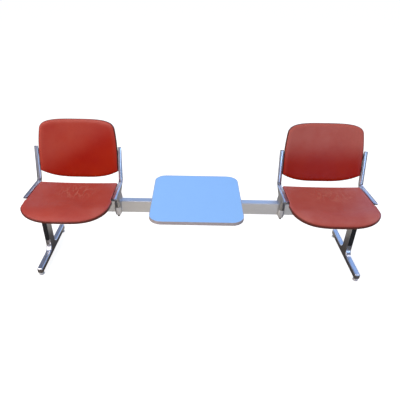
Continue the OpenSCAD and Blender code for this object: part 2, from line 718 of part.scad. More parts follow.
// A ribbed strip; facing is -1 for the front of the pillar and 1 for its rear
module leg_insert(side, facing) {
    pitch = (insert_w - 2 * fit_gap) / (insert_ribs + 0.5);
    groove = 1.2;
    groove_y = facing < 0 ? -insert_t - cut : -groove;
    y = facing < 0 ? -pillar_front + insert_t : pillar_rear;
    color(plastic_black) set_down() translate([side * leg_x, y, 0]) difference() {
        translate([0, facing < 0 ? -fit_gap : 0, 0]) insert_pocket(fit_gap, insert_t - fit_gap);
        for (k = [0:insert_ribs - 1])
            translate([(k - insert_ribs / 2 + 0.25) * pitch, groove_y, insert_low - cut])
                cube([pitch / 2, groove + cut, insert_top - insert_low + 2 * cut]);
    }
}

// Glides: a moulded pad on a threaded stem, in a bush pressed into the foot

function glide_at(side, end) = [side * leg_x, glide_y[end], 0];

module glide(side, end) {
    color(glide_grey) set_down() translate(glide_at(side, end)) difference() {
        rotate_extrude() polygon([[0, 0], [glide_r - glide_edge, 0], [glide_r, glide_edge],
            [glide_r, glide_h - glide_edge], [glide_r - glide_edge, glide_h],
            [glide_neck_r, glide_h], [glide_neck_r, neck_top], [0, neck_top]]);
        translate([0, 0, stem_low]) cylinder(r = bolt_r, h = foot_low);
    }
}

module glide_stem(side, end) {
    color(steel) set_down() translate(glide_at(side, end)) translate([0, 0, stem_low])
        cylinder(r = bolt_r, h = stem_top - stem_low);
}

module glide_bushes() {
    color(steel) set_down() for (side = [-1, 1], end = [0, 1]) translate(glide_at(side, end)) difference() {
        translate([0, 0, foot_low]) cylinder(r = bush_r, h = bush_h);
        translate([0, 0, foot_low - cut]) cylinder(r = bolt_r + thread_gap, h = bush_h + 2 * cut);
    }
}

// Table: core, top sheet, edge band, brackets and screws

module table_plate(side, r, z0, z1) {
    translate([table_x, table_y, z0]) linear_extrude(z1 - z0) polygon(rounded(box_corners(side, side, r)));
}
inner_side = table_side - 2 * edge_t;
laminate_z = table_z + table_core_t;
table_screw_in = [14, 84]; // from an arm's end to its screws
brace_in = 96; // from an arm's end to the end of the brace under it
brace_rise = 14; // of the brace's root above the clamp's joint
arm_brace = bracket_reach - brace_in;
table_screw_y = [for (s = [-1, 1], d = table_screw_in) s * (bracket_reach - d)];

module table_core() {
    color("tan") set_down() difference() {
        table_plate(inner_side, table_r - edge_t, table_z, laminate_z);
        for (x = bracket_x, y = table_screw_y) translate([x, y, table_z - cut])
            cylinder(r = screw_r + thread_gap, h = 2 * screw_grip + 2 * cut);
    }
}

module table_laminate() {
    color("lightskyblue") set_down()
        table_plate(inner_side, table_r - edge_t, laminate_z, laminate_z + laminate_t);
}

module table_edge() {
    color("rosybrown") set_down() difference() {
        table_plate(table_side, table_r, table_z, laminate_z + laminate_t);
        table_plate(inner_side, table_r - edge_t, table_z - cut, laminate_z + laminate_t + cut);
    }
}

module table_bracket(k) {
    color(polished) set_down() translate([bracket_x[k], 0, 0]) difference() {
        union() {
            clamp_plan(split_z + clamp_gap / 2, table_z);
            translate([0, 0, table_z - arm_t / 2]) cube([bracket_w, 2 * bracket_reach, arm_t], center = true);
            yz_plate([[-arm_brace, table_z - arm_t], [-clamp_y + cut, split_z + brace_rise],
                [clamp_y - cut, split_z + brace_rise], [arm_brace, table_z - arm_t]], web_t);
        }
        beam_hole();
        bolt_threads();
        for (y = table_screw_y) translate([0, y, table_z - arm_t - cut])
            cylinder(r = screw_r + hole_gap, h = arm_t + 2 * cut);
    }
}

module table_screws() {
    color(steel) set_down() for (x = bracket_x, y = table_screw_y) translate([x, y, table_z - arm_t]) {
        translate([0, 0, -screw_head_h]) cylinder(r = screw_head_r, h = screw_head_h);
        cylinder(r = screw_r, h = arm_t + 2 * screw_grip);
    }
}

beam();
beam_plug(-1);  // beam_plug_left
beam_plug(1);  // beam_plug_right
leg(-1);  // leg_left
leg(1);  // leg_right
leg_strap(-1);  // leg_strap_left
leg_strap(1);  // leg_strap_right
strap_bolts();
leg_insert(-1, -1);  // leg_insert_front_left
leg_insert(1, -1);  // leg_insert_front_right
leg_insert(-1, 1);  // leg_insert_rear_left
leg_insert(1, 1);  // leg_insert_rear_right
glide_bushes();
glide(-1, 0);  // glide_front_left
glide(1, 0);  // glide_front_right
glide(-1, 1);  // glide_rear_left
glide(1, 1);  // glide_rear_right
glide_stem(-1, 0);  // glide_stem_front_left
glide_stem(1, 0);  // glide_stem_front_right
glide_stem(-1, 1);  // glide_stem_rear_left
glide_stem(1, 1);  // glide_stem_rear_right
side_frame(-outer_x, 1);  // side_frame_left_outer
side_frame(-inner_x, -1);  // side_frame_left_inner
side_frame(inner_x, 1);  // side_frame_right_inner
side_frame(outer_x, -1);  // side_frame_right_outer
clamp_jaw(-outer_x);  // clamp_jaw_left_outer
clamp_jaw(-inner_x);  // clamp_jaw_left_inner
clamp_jaw(inner_x);  // clamp_jaw_right_inner
clamp_jaw(outer_x);  // clamp_jaw_right_outer
clamp_bolts();
seat_shell(-seat_spacing / 2);  // seat_shell_left
seat_shell(seat_spacing / 2);  // seat_shell_right
seat_pad(-seat_spacing / 2);  // seat_pad_left
seat_pad(seat_spacing / 2);  // seat_pad_right
seat_cover(-seat_spacing / 2);  // seat_cover_left
seat_cover(seat_spacing / 2);  // seat_cover_right
seat_screws();
back_shell(-seat_spacing / 2);  // back_shell_left
back_shell(seat_spacing / 2);  // back_shell_right
back_pad(-seat_spacing / 2);  // back_pad_left
back_pad(seat_spacing / 2);  // back_pad_right
back_cover(-seat_spacing / 2);  // back_cover_left
back_cover(seat_spacing / 2);  // back_cover_right
back_screws();
table_core();
table_laminate();
table_edge();
table_bracket(0);  // table_bracket_left
table_bracket(1);  // table_bracket_right
clamp_jaw(bracket_x[0]);  // table_jaw_left
clamp_jaw(bracket_x[1]);  // table_jaw_right
table_bolts();
table_screws();
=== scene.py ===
import json
import math
import bmesh
import bpy
from mathutils import Matrix, Vector, noise
from mathutils.kdtree import KDTree


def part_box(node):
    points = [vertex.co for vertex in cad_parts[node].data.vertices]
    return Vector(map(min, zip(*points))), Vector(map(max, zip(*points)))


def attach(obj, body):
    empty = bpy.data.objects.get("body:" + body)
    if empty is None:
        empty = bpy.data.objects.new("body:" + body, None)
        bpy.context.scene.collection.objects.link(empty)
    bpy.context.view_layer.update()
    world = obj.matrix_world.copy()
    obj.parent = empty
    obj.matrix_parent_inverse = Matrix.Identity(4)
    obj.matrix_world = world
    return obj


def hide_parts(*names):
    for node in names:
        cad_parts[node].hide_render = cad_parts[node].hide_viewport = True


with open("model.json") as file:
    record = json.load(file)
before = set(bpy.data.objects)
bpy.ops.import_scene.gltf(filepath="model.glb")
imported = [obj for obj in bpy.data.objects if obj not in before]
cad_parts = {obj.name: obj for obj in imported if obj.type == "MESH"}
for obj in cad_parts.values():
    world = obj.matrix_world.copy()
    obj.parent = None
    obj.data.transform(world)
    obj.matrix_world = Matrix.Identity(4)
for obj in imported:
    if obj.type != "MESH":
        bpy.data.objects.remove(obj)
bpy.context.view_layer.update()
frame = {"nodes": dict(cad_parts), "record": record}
nodes = frame["nodes"]
bodies = frame["record"]["behaviour"]["bodies"]
bodyOf = {node: body for body, members in bodies.items() for node in members}
slotOf = {part["node"]: part["material_slot"] for part in frame["record"]["subparts"]}
print("frame loaded:", len(nodes), "nodes")

# Metres throughout: +X to the right as seen by a person facing the bench, -Y to the front, +Z up
beamLow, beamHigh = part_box("beam")
beamY = (beamLow.y + beamHigh.y) / 2
sideNames = ("left", "right")
endNames = ("front", "rear")
mergeGap = 0.00001  # points closer than this are one


def middleX(node):
    low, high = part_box(node)
    return (low.x + high.x) / 2


# Camera, at the height and distance that the photograph was taken from

photoView = {
    "place": (-0.0418, -1.8749, 1.553),  # Y from the beam's middle
    "yaw": -0.262,
    "pitch": 31.836,
    "roll": 0.915,
    "lens": 35.55,
    "sensor": 36.0,
    "shift": (0.0230, -0.0012),
    "reach": 80,
}


def addCamera(view):
    yaw, pitch, roll = (math.radians(view[key]) for key in ("yaw", "pitch", "roll"))
    ahead = Vector((math.sin(yaw) * math.cos(pitch), math.cos(yaw) * math.cos(pitch), -math.sin(pitch)))
    right = Vector((math.cos(yaw), -math.sin(yaw), 0))
    up = right.cross(ahead)
    turnedRight = right * math.cos(roll) + up * math.sin(roll)
    turnedUp = up * math.cos(roll) - right * math.sin(roll)
    data = bpy.data.cameras.new("photoCamera")
    data.lens = view["lens"]
    data.sensor_width = view["sensor"]
    data.shift_x, data.shift_y = view["shift"]
    data.clip_end = view["reach"]
    camera = bpy.data.objects.new("photoCamera", data)
    bpy.context.scene.collection.objects.link(camera)
    turn = Matrix((turnedRight, turnedUp, -ahead)).transposed().to_4x4()
    x, y, z = view["place"]
    camera.matrix_world = Matrix.Translation((x, beamY + y, z)) @ turn
    bpy.context.scene.camera = camera


addCamera(photoView)
bpy.context.scene.view_settings.view_transform = "Standard"

# Finishes


def newFinish(name, colour, roughness, sockets=None):
    finish = bpy.data.materials.new(name)
    finish.use_nodes = True
    shader = finish.node_tree.nodes["Principled BSDF"]
    for socket, value in {"Base Color": (*colour, 1), "Roughness": roughness, **(sockets or {})}.items():
        shader.inputs[socket].default_value = value
    return finish


# Adds a node; a socket's value is a number, a colour or another node's output
def put(finish, kind, sockets=None, **settings):
    node = finish.node_tree.nodes.new("ShaderNode" + kind)
    for name, value in settings.items():
        setattr(node, name, value)
    for name, value in (sockets or {}).items():
        if isinstance(value, bpy.types.NodeSocket):
            finish.node_tree.links.new(value, node.inputs[name])
        else:
            node.inputs[name].default_value = value
    return node


def feed(finish, output, socket):
    finish.node_tree.links.new(output, finish.node_tree.nodes["Principled BSDF"].inputs[socket])


def onPiece(finish, stretch=(1, 1, 1), turn=(0, 0, 0)):
    place = put(finish, "TexCoord").outputs["Object"]
    return put(finish, "Mapping", {"Vector": place, "Scale": stretch, "Rotation": turn}).outputs[0]


def attribute(finish, name):
    return put(finish, "Attribute", attribute_name=name).outputs["Fac"]


def calculate(finish, operation, *values):
    return put(finish, "Math", dict(enumerate(values)), operation=operation).outputs[0]


def span(finish, value, low, high, toLow=0.0, toHigh=1.0):
    sockets = {"Value": value, "From Min": low, "From Max": high, "To Min": toLow, "To Max": toHigh}
    return put(finish, "MapRange", sockets).outputs[0]


# A pattern is the scale, detail and roughness of a noise; low and high are the part of it that is spread out
def cloud(finish, place, pattern):
    sockets = {"Scale": pattern["scale"], "Detail": pattern["detail"], "Roughness": pattern["rough"]}
    return put(finish, "TexNoise", {"Vector": place, **sockets}).outputs[0]


def spread(finish, value, pattern, toLow=0.0, toHigh=1.0):
    return span(finish, value, pattern["low"], pattern["high"], toLow, toHigh)


def mottle(finish, place, pattern, toLow=0.0, toHigh=1.0):
    return spread(finish, cloud(finish, place, pattern), pattern, toLow, toHigh)


def cells(finish, place, scale, feature):
    return put(finish, "TexVoronoi", {"Vector": place, "Scale": scale}, feature=feature).outputs


def blendColours(finish, factor, first, second):
    mix = put(finish, "Mix", data_type="RGBA")
    for index, value in ((0, factor), (6, first), (7, second)):
        if isinstance(value, bpy.types.NodeSocket):
            finish.node_tree.links.new(value, mix.inputs[index])
        else:
            mix.inputs[index].default_value = (*value, 1)
    return mix.outputs[2]


def relief(finish, height, depth, below=None):
    sockets = {"Height": height, "Distance": depth, "Strength": 1.0}
    if below is not None:
        sockets["Normal"] = below
    return put(finish, "Bump", sockets).outputs[0]


leatherLook = {
    "deep": (0.32, 0.006, 0.0003),
    "worn": (0.38, 0.018, 0.0008),
    # a pale pink, partly faded leather and partly painted sheen
    "fadedAndSheen": (0.47, 0.112, 0.078),
    "rubAndSheen": (0.56, 0.19, 0.12),
    "rimShade": (0.10, 0.016, 0.008),
    "roughness": 0.45,
    "sheen": {"Specular IOR Level": 0.20, "Specular Tint": (1.0, 0.80, 0.80, 1)},
    "gloss": (0.30, 0.40),
    "glossPatches": {"scale": 60, "detail": 4, "rough": 0.5, "low": 0.3, "high": 0.7},
    "patches": {"scale": 6, "detail": 3, "rough": 0.55, "low": 0.30, "high": 0.75},
    "scuffs": {"scale": 34, "detail": 5, "rough": 0.7, "low": 0.56, "high": 0.80},
    "scuffStrength": 0.35,
    "fadePatches": {"scale": 13, "detail": 4, "rough": 0.6, "low": 0.3, "high": 0.7},
    "fadeRange": (0.8, 1.15),
    "creases": {"scale": 34, "detail": 2, "rough": 0.5},
    "creaseStretch": (1, 0.36, 1),
    "creaseTurn": 34,
    "creaseMiddle": 0.5,
    "creaseWidth": 0.06,
    "creaseDepth": 0.0018,
    "creaseRubAndSheen": 0.55,
    "poreScale": 620,
    "poreWidth": 0.12,
    "poreShade": 0.82,
    "poreDepth": 0.00010,
    "pebbles": {"scale": 240, "detail": 4, "rough": 0.6},
    "pebbleDepth": 0.00014,
}


def makeLeather(look):
    leather = newFinish("seatLeather", look["deep"], look["roughness"], look["sheen"])
    place = onPiece(leather)
    colour = blendColours(leather, mottle(leather, place, look["patches"]), look["deep"], look["worn"])
    scuffs = mottle(leather, place, look["scuffs"], 0.0, look["scuffStrength"])
    colour = blendColours(leather, scuffs, colour, look["worn"])
    # painted sheen: a per-point amount, broken up in patches, pales the leather to a pink that is partly
    # faded leather and partly painted reflection
    fadeAndSheen = mottle(leather, place, look["fadePatches"], *look["fadeRange"])
    fadeAndSheen = calculate(leather, "MULTIPLY", attribute(leather, "fadedAndSheen"), fadeAndSheen)
    colour = blendColours(leather, fadeAndSheen, colour, look["fadedAndSheen"])
    # creases follow the seat's own map of where it is sat on, and their crests are painted paler, partly as
    # rubbed leather, partly as sheen
    drawn = onPiece(leather, look["creaseStretch"], (0, 0, math.radians(look["creaseTurn"])))
    folds = cloud(leather, drawn, look["creases"])
    ridge = calculate(leather, "ABSOLUTE", calculate(leather, "SUBTRACT", folds, look["creaseMiddle"]))
    ridge = span(leather, ridge, 0.0, look["creaseWidth"], 1.0, 0.0)
    ridge = calculate(leather, "MULTIPLY", ridge, attribute(leather, "satOn"))
    crestRubAndSheen = span(leather, ridge, 0.0, 1.0, 0.0, look["creaseRubAndSheen"])
    colour = blendColours(leather, crestRubAndSheen, colour, look["rubAndSheen"])
    # painted shade along the wrapped edges
    colour = blendColours(leather, attribute(leather, "rimShade"), colour, look["rimShade"])
    pores = cells(leather, place, look["poreScale"], "DISTANCE_TO_EDGE")[0]
    skin = span(leather, pores, 0.0, look["poreWidth"])  # 0 in a pore, 1 between them
    shade = span(leather, skin, 0.0, 1.0, look["poreShade"], 1.0)
    colour = put(leather, "VectorMath", {0: colour, "Scale": shade}, operation="SCALE").outputs[0]
    feed(leather, colour, "Base Color")
    feed(leather, mottle(leather, place, look["glossPatches"], *look["gloss"]), "Roughness")
    bump = relief(leather, skin, look["poreDepth"])
    bump = relief(leather, cloud(leather, place, look["pebbles"]), look["pebbleDepth"], bump)
    bump = relief(leather, ridge, -look["creaseDepth"], bump)
    feed(leather, bump, "Normal")
    return leather


castLook = {
    "bare": (0.60, 0.61, 0.65),
    "dull": (0.50, 0.505, 0.53),
    "roughness": 0.2,
    "smudges": {"scale": 18, "detail": 5, "rough": 0.65, "low": 0.42, "high": 0.78},
    "gloss": (0.28, 0.40),
    "glossPatches": {"scale": 38, "detail": 5, "rough": 0.7, "low": 0.3, "high": 0.75},
    "waves": {"scale": 26, "detail": 1, "rough": 0.5},
    "waveDepth": 0.00022,
    "scratches": {"scale": 900, "detail": 2, "rough": 0.5},
    "scratchStretch": (1, 0.08, 0.3),
    "scratchTurn": (0.3, 0, 0.5),
    "scratchDepth": 0.000012,
}


def makeCastAluminium(look):
    metal = newFinish("polishedCasting", look["bare"], look["roughness"], {"Metallic": 1.0})
    place = onPiece(metal)
    smudges = mottle(metal, place, look["smudges"])
    feed(metal, blendColours(metal, smudges, look["bare"], look["dull"]), "Base Color")
    feed(metal, mottle(metal, place, look["glossPatches"], *look["gloss"]), "Roughness")
    bump = relief(metal, cloud(metal, place, look["waves"]), look["waveDepth"])
    drawn = onPiece(metal, look["scratchStretch"], look["scratchTurn"])
    feed(metal, relief(metal, cloud(metal, drawn, look["scratches"]), look["scratchDepth"], bump), "Normal")
    return metal


beamLook = {
    "tone": (0.64, 0.64, 0.64),
    "shade": (0.59, 0.59, 0.59),
    "roughness": 0.36,
    "blotches": {"scale": 16, "detail": 4, "rough": 0.6, "low": 0.4, "high": 0.75},
    "blotchStretch": (0.3, 1, 1),
    "gloss": (0.40, 0.50),
    "lines": {"scale": 700, "detail": 3, "rough": 0.6, "low": 0.3, "high": 0.7},
    "lineStretch": (0.012, 1, 1),
    "lineDepth": 0.00002,
}


def makeExtrudedAluminium(look):
    metal = newFinish("satinExtrusion", look["tone"], look["roughness"], {"Metallic": 1.0})
    lines = cloud(metal, onPiece(metal, look["lineStretch"]), look["lines"])
    blotches = mottle(metal, onPiece(metal, look["blotchStretch"]), look["blotches"])
    feed(metal, blendColours(metal, blotches, look["tone"], look["shade"]), "Base Color")
    feed(metal, spread(metal, lines, look["lines"], *look["gloss"]), "Roughness")
    feed(metal, relief(metal, lines, look["lineDepth"]), "Normal")
    return metal


turnedMetals = {
    "zincPlatedSteel": {"tone": (0.36, 0.35, 0.33), "gloss": (0.28, 0.48)},
    "turnedBrass": {"tone": (0.70, 0.52, 0.24), "gloss": (0.24, 0.4)},
}
turnedLook = {
    "stains": {"scale": 240, "detail": 5, "rough": 0.65, "low": 0.45, "high": 0.8},
    "stainShade": 0.55,
    "dulling": {"low": 0.3, "high": 0.75},
    "depth": 0.00002,
}


def makeTurnedMetal(name, look):
    tone, gloss = turnedMetals[name]["tone"], turnedMetals[name]["gloss"]
    metal = newFinish(name, tone, gloss[0], {"Metallic": 1.0})
    specks = cloud(metal, onPiece(metal), look["stains"])
    stained = tuple(look["stainShade"] * part for part in tone)
    feed(metal, blendColours(metal, spread(metal, specks, look["stains"]), tone, stained), "Base Color")
    feed(metal, spread(metal, specks, look["dulling"], *gloss), "Roughness")
    feed(metal, relief(metal, specks, look["depth"]), "Normal")
    return metal


laminateLook = {
    "field": (0.265, 0.50, 0.80),
    "fleck": (0.260, 0.492, 0.79),
    "flecks": {"scale": 150, "detail": 5, "rough": 0.7, "low": 0.42, "high": 0.62},
    "marble": 1.02,
    "marbling": {"scale": 22, "detail": 5, "rough": 0.65, "low": 0.35, "high": 0.7},
    "marblingStrength": 0.6,
    "roughness": 0.28,
    "sheen": {"Specular IOR Level": 0.6},
    "gloss": (0.30, 0.33),
    "glossPatches": {"scale": 30, "detail": 4, "rough": 0.5, "low": 0.3, "high": 0.7},
    "texture": {"scale": 420, "detail": 3, "rough": 0.5},
    "textureDepth": 0.000005,
}


def makeLaminate(look):
    sheet = newFinish("tableLaminate", look["field"], look["roughness"], look["sheen"])
    place = onPiece(sheet)
    colour = blendColours(sheet, mottle(sheet, place, look["flecks"]), look["field"], look["fleck"])
    marbling = mottle(sheet, place, look["marbling"], 0.0, look["marblingStrength"])
    colour = blendColours(sheet, marbling, colour, tuple(look["marble"] * part for part in look["field"]))
    feed(sheet, colour, "Base Color")
    feed(sheet, mottle(sheet, place, look["glossPatches"], *look["gloss"]), "Roughness")
    feed(sheet, relief(sheet, cloud(sheet, place, look["texture"]), look["textureDepth"]), "Normal")
    return sheet


edgingLook = {
    "field": (0.40, 0.35, 0.34),
    "grain": (0.31, 0.26, 0.25),
    "roughness": 0.42,
    "strands": {"scale": 260, "detail": 4, "rough": 0.6, "low": 0.4, "high": 0.7},
    "strandStretch": (0.2, 0.2, 1),
    "strandDepth": 0.00004,
    "gloss": (0.36, 0.5),
    "dulling": {"low": 0.3, "high": 0.7},
}


def makeEdging(look):
    band = newFinish("tableEdging", look["field"], look["roughness"])
    strands = cloud(band, onPiece(band, look["strandStretch"]), look["strands"])
    colour = blendColours(band, spread(band, strands, look["strands"]), look["field"], look["grain"])
    feed(band, colour, "Base Color")
    feed(band, spread(band, strands, look["dulling"], *look["gloss"]), "Roughness")
    feed(band, relief(band, strands, look["strandDepth"]), "Normal")
    return band


chipboardLook = {
    "tone": (0.42, 0.29, 0.17),
    "light": (0.52, 0.37, 0.22),
    "dark": (0.27, 0.17, 0.09),
    "dust": (0.44, 0.31, 0.19),
    "dusting": {"scale": 600, "detail": 4, "rough": 0.7, "low": 0.35, "high": 0.7},
    "roughness": 0.8,
    "chipScale": 190,
    "chipStretch": (1, 0.45, 1),
    "chipTurn": (0, 0, 0.6),
    "chipDepth": 0.0003,
}


def makeChipboard(look):
    board = newFinish("chipboard", look["tone"], look["roughness"])
    chips = cells(board, onPiece(board, look["chipStretch"], look["chipTurn"]), look["chipScale"], "F1")
    tint = put(board, "SeparateColor", {0: chips["Color"]}).outputs[0]
    colour = blendColours(board, tint, look["light"], look["dark"])
    dust = mottle(board, onPiece(board), look["dusting"])
    feed(board, blendColours(board, dust, colour, look["dust"]), "Base Color")
    feed(board, relief(board, chips["Distance"], look["chipDepth"]), "Normal")
    return board


plywoodLook = {
    "tone": (0.52, 0.34, 0.19),
    "early": (0.56, 0.38, 0.22),
    "late": (0.38, 0.22, 0.11),
    "ring": (0.60, 0.43, 0.27),
    "rings": {"scale": 30, "detail": 3, "rough": 0.6, "low": 0.45, "high": 0.75},
    "ringStretch": (1, 0.12, 0.12),
    "ringStrength": 0.6,
    "grain": {"scale": 520, "detail": 5, "rough": 0.6, "low": 0.35, "high": 0.7},
    "grainStretch": (1, 0.05, 0.05),
    "grainDepth": 0.00006,
    "roughness": 0.55,
    "gloss": (0.45, 0.65),
    "dulling": {"low": 0.3, "high": 0.7},
}


def makePlywood(look):
    ply = newFinish("beechPlywood", look["tone"], look["roughness"])
    grain = cloud(ply, onPiece(ply, look["grainStretch"]), look["grain"])
    colour = blendColours(ply, spread(ply, grain, look["grain"]), look["early"], look["late"])
    rings = mottle(ply, onPiece(ply, look["ringStretch"]), look["rings"], 0.0, look["ringStrength"])
    feed(ply, blendColours(ply, rings, colour, look["ring"]), "Base Color")
    feed(ply, spread(ply, grain, look["dulling"], *look["gloss"]), "Roughness")
    feed(ply, relief(ply, grain, look["grainDepth"]), "Normal")
    return ply


mouldings = {
    "blackMoulding": {
        "colour": (0.018, 0.018, 0.017),
        "gloss": (0.42, 0.58),
        "grainScale": 900,
        "grainDepth": 0.00012,
        "sockets": {},
    },
    "blackRubber": {
        "colour": (0.014, 0.014, 0.014),
        "gloss": (0.5, 0.66),
        "grainScale": 1200,
        "grainDepth": 0.00006,
        "sockets": {},
    },
    "paleNylon": {
        "colour": (0.62, 0.61, 0.57),
        "gloss": (0.34, 0.5),
        "grainScale": 1500,
        "grainDepth": 0.00003,
        "sockets": {"Subsurface Weight": 0.15, "Subsurface Scale": 0.003},
    },
}
mouldingLook = {
    "scuffs": {"scale": 42, "detail": 5, "rough": 0.7, "low": 0.5, "high": 0.8},
    "scuffGain": 1.25,
    "scuffLift": 0.012,
    "dulling": {"low": 0.3, "high": 0.75},
}


def makeMoulding(name, look):
    own = mouldings[name]
    colour, gloss = own["colour"], own["gloss"]
    plastic = newFinish(name, colour, gloss[0], own["sockets"])
    place = onPiece(plastic)
    grain = cells(plastic, place, own["grainScale"], "SMOOTH_F1")[0]
    scuffs = cloud(plastic, place, look["scuffs"])
    lighter = tuple(min(1.0, look["scuffGain"] * part + look["scuffLift"]) for part in colour)
    worn = blendColours(plastic, spread(plastic, scuffs, look["scuffs"]), colour, lighter)
    feed(plastic, worn, "Base Color")
    feed(plastic, spread(plastic, scuffs, look["dulling"], *gloss), "Roughness")
    feed(plastic, relief(plastic, grain, own["grainDepth"]), "Normal")
    return plastic


finishes = {
    "seat_leather": makeLeather(leatherLook),
    "cast_aluminium": makeCastAluminium(castLook),
    "extruded_aluminium": makeExtrudedAluminium(beamLook),
    "fastener_steel": makeTurnedMetal("zincPlatedSteel", turnedLook),
    "bush_brass": makeTurnedMetal("turnedBrass", turnedLook),
    "shell_plywood": makePlywood(plywoodLook),
    "black_plastic": makeMoulding("blackMoulding", mouldingLook),
    "ribbed_insert": makeMoulding("blackRubber", mouldingLook),
    "glide_plastic": makeMoulding("paleNylon", mouldingLook),
    "table_board": makeChipboard(chipboardLook),
    "table_laminate": makeLaminate(laminateLook),
    "table_edging": makeEdging(edgingLook),
}
finishes["cover_leather"] = finishes["seat_leather"]


def paint(piece, slot):
    piece.data.materials.clear()
    piece.data.materials.append(finishes[slot])


for nodeName, cadPiece in nodes.items():
    paint(cadPiece, slotOf[nodeName])
print("finishes made:", len(finishes))


def addPiece(name, bm, slot, node):
    mesh = bpy.data.meshes.new(name)
    bm.to_mesh(mesh)
    bm.free()
    mesh.shade_smooth()
    piece = bpy.data.objects.new(name, mesh)
    bpy.context.scene.collection.objects.link(piece)
    paint(piece, slot)
    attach(piece, bodyOf[node])
    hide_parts(node)
    return piece


# Castings and other rigid pieces: the CAD piece with its edges rounded as they are cast and polished

roundings = {
    "side_frame": {"radius": 0.0024, "steps": 4, "sharp": 28},
    "clamp_jaw": {"radius": 0.0022, "steps": 3, "sharp": 28},
    "leg": {"radius": 0.0020, "steps": 5, "sharp": 28, "foot": 0.0074, "pocket": 0.0003},
    "leg_strap": {"radius": 0.0015, "steps": 3, "sharp": 30},
    "table_bracket": {"radius": 0.0018, "steps": 3, "sharp": 30},
    "table_jaw": {"radius": 0.0022, "steps": 3, "sharp": 28},
    "beam": {"radius": 0.0004, "steps": 2, "sharp": 40},
    "beam_plug": {"radius": 0.0005, "steps": 2, "sharp": 40},
    "leg_insert": {"radius": 0.0004, "steps": 2, "sharp": 40},
    "glide": {"radius": 0.0006, "steps": 2, "sharp": 35},
    "glide_bushes": {"radius": 0.0003, "steps": 2, "sharp": 40},
    "bolts": {"radius": 0.0006, "steps": 2, "sharp": 40},
    "table_laminate": {"radius": 0.0003, "steps": 2, "sharp": 40},
    "table_edge": {"radius": 0.0005, "steps": 2, "sharp": 40},
    "table_core": {"radius": 0.0004, "steps": 1, "sharp": 40},
}
framePlaces = [f"{side}_{place}" for side in sideNames for place in ("outer", "inner")]
cornerPlaces = [f"{end}_{side}" for end in endNames for side in sideNames]
roundedNodes = {
    "side_frame": [f"side_frame_{place}" for place in framePlaces],
    "clamp_jaw": [f"clamp_jaw_{place}" for place in framePlaces],
    "leg": [f"leg_{side}" for side in sideNames],
    "leg_strap": [f"leg_strap_{side}" for side in sideNames],
    "table_bracket": [f"table_bracket_{side}" for side in sideNames],
    "table_jaw": [f"table_jaw_{side}" for side in sideNames],
    "beam": ["beam"],
    "beam_plug": [f"beam_plug_{side}" for side in sideNames],
    "leg_insert": [f"leg_insert_{place}" for place in cornerPlaces],
    "glide": [f"glide_{place}" for place in cornerPlaces],
    "glide_bushes": ["glide_bushes"],
    "bolts": ["clamp_bolts", "table_bolts", "strap_bolts", "seat_screws", "back_screws", "table_screws"],
    "table_laminate": ["table_laminate"],
    "table_edge": ["table_edge"],
    "table_core": ["table_core"],
}
flatAngle = 0.6  # degrees between faces that count as one
normalWeight = 80
bandFloor = 0.428  # height above which a side frame is rail and upright
bandSides = (0.0083, 0.0118)
footTop = {"level": 0.0502, "blend": 0.030}
pocketHalf = 0.0140


# Radius at an edge of a side frame: the rail and upright are crowned, the rest stays as cast
def frameRadius(place, rounding):
    return rounding["radius"] if place.z > bandFloor and bandSides[0] < abs(place.x) < bandSides[1] else 0.0


# Radius at an edge of a leg: large along the foot, small up the pillar, next to none round the inserts
def legRadius(place, rounding):
    if abs(place.x) < pocketHalf:
        return rounding["pocket"]
    blend = min(1.0, max(0.0, (place.z - footTop["level"]) / footTop["blend"]))
    return rounding["foot"] + (rounding["radius"] - rounding["foot"]) * blend


radiusOf = {"side_frame": frameRadius, "leg": legRadius}


def cleanCopy(node):
    bm = bmesh.new()
    bm.from_mesh(nodes[node].data)
    bmesh.ops.remove_doubles(bm, verts=bm.verts, dist=mergeGap)
    bmesh.ops.dissolve_limit(bm, angle_limit=math.radians(flatAngle), verts=bm.verts, edges=bm.edges,
                             delimit=set())
    return bm


def sharpEdges(bm, rounding):
    sharp = math.radians(rounding["sharp"])
    return [edge for edge in bm.edges if edge.is_manifold and edge.calc_face_angle() > sharp]


def evenNormals(piece):
    weigh = piece.modifiers.new("even normals", "WEIGHTED_NORMAL")
    weigh.weight = normalWeight


def roundEdges(node, rounding):
    bm = cleanCopy(node)
    bmesh.ops.bevel(bm, geom=sharpEdges(bm, rounding), offset=rounding["radius"], offset_type="OFFSET",
                    affect="EDGES", segments=rounding["steps"], profile=0.5, material=-1,
                    clamp_overlap=True, miter_outer="ARC")
    evenNormals(addPiece(node + "_finished", bm, slotOf[node], node))


# A casting: each edge has a radius of its own, kept as a share of the largest
def castEdges(node, rounding, radiusAt):
    bm = cleanCopy(node)
    centre = Vector((middleX(node), beamY, 0))
    share = bm.edges.layers.float.new("bevel_weight_edge")
    chosen = {}
    for edge in sharpEdges(bm, rounding):
        place = (edge.verts[0].co + edge.verts[1].co) / 2 - centre
        chosen[edge] = radiusAt(place, rounding)
    largest = max(chosen.values())
    for edge, radius in chosen.items():
        edge[share] = radius / largest
    piece = addPiece(node + "_finished", bm, slotOf[node], node)
    soften = piece.modifiers.new("cast edges", "BEVEL")
    soften.limit_method = "WEIGHT"
    soften.offset_type = "OFFSET"
    soften.width = largest
    soften.segments = rounding["steps"]
    soften.profile = 0.5
    soften.use_clamp_overlap = False
    soften.miter_outer = "MITER_ARC"
    evenNormals(piece)


for kind, members in roundedNodes.items():
    for member in members:
        if kind in radiusOf:
            castEdges(member, roundings[kind], radiusOf[kind])
        else:
            roundEdges(member, roundings[kind])
    print("edges rounded:", kind)

# Upholstery: u runs across from -1 to 1, s along the rail or up the upright, up away from the shell

bend = {"y": beamY + 0.102, "z": 0.440, "rise": math.radians(3.5), "lean": math.radians(13.5)}


def clamp01(t):
    return max(0.0, min(1.0, t))


def smooth(t):
    t = clamp01(t)
    return t * t * (3 - 2 * t)


def bow(t):
    return math.sqrt(max(0.0, 1 - (1 - clamp01(t)) ** 2))


# Moves evenly spaced points towards the edges, where the form turns most
def crowd(t, share=0.93):
    return (1 - share) * t + share * math.sin(t * math.pi / 2)


